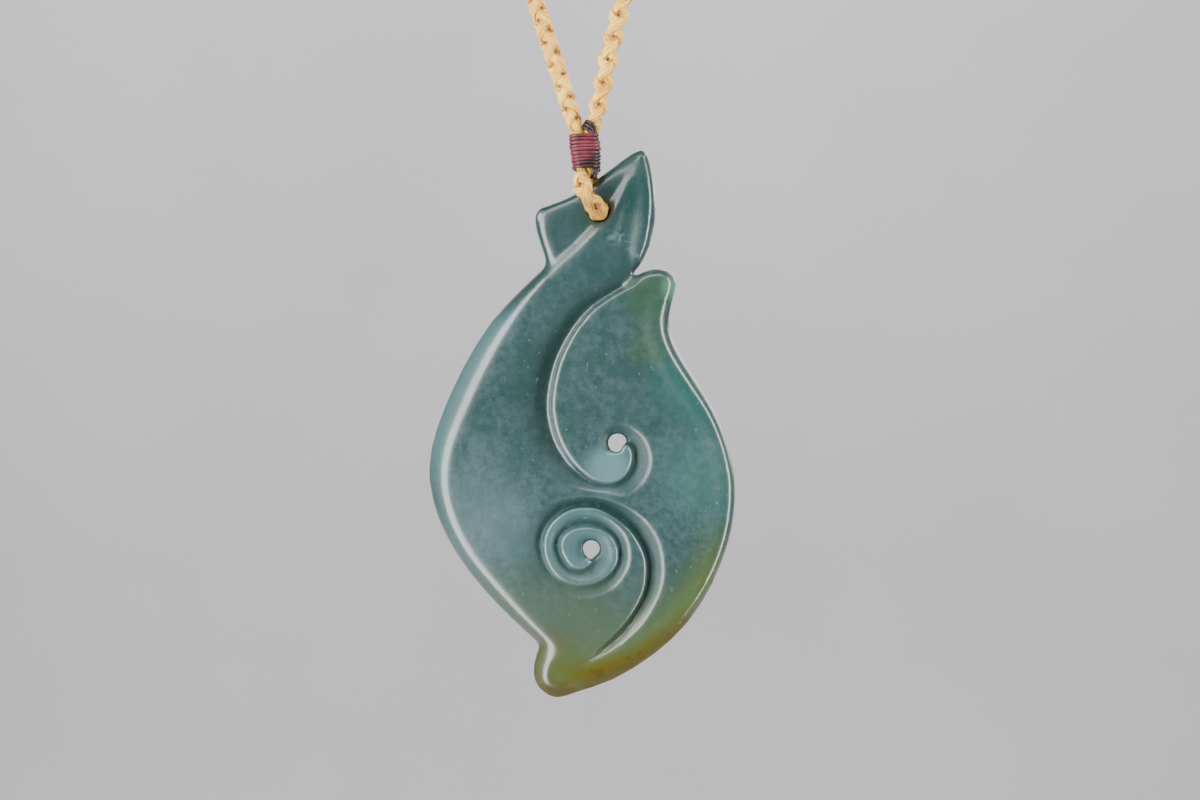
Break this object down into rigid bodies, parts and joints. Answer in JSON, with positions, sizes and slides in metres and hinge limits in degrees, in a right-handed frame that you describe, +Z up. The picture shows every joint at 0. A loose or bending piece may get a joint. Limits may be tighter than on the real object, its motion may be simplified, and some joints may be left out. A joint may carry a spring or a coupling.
{
  "type": "hei matau pendant necklace",
  "caption": "Flat fish hook pendant carved in polished stone with ridges, hollows and spiral scrolls, on a braided cord neck loop with a wound thread lashing.",
  "frame": {"origin": "the cord loop's seat on the nape of the neck, at the middle of the cord's back binding", "axes": "+Z up, -Y the carved face's outlook away from the wearer's chest, +X towards the wearer's left"},
  "size_m": [0.1184, 0.124, 0.2999],
  "materials": {
    "jade": "polished, slightly translucent",
    "braid": "waxed braided cord",
    "thread": "waxed wound thread"
  },
  "bodies": {
    "root": {"jade_hook": "jade", "braid_left": "braid", "braid_right": "braid", "lashing": "thread", "lashing_knot": "thread", "nape_binding": "thread"}
  },
  "joints": []
}
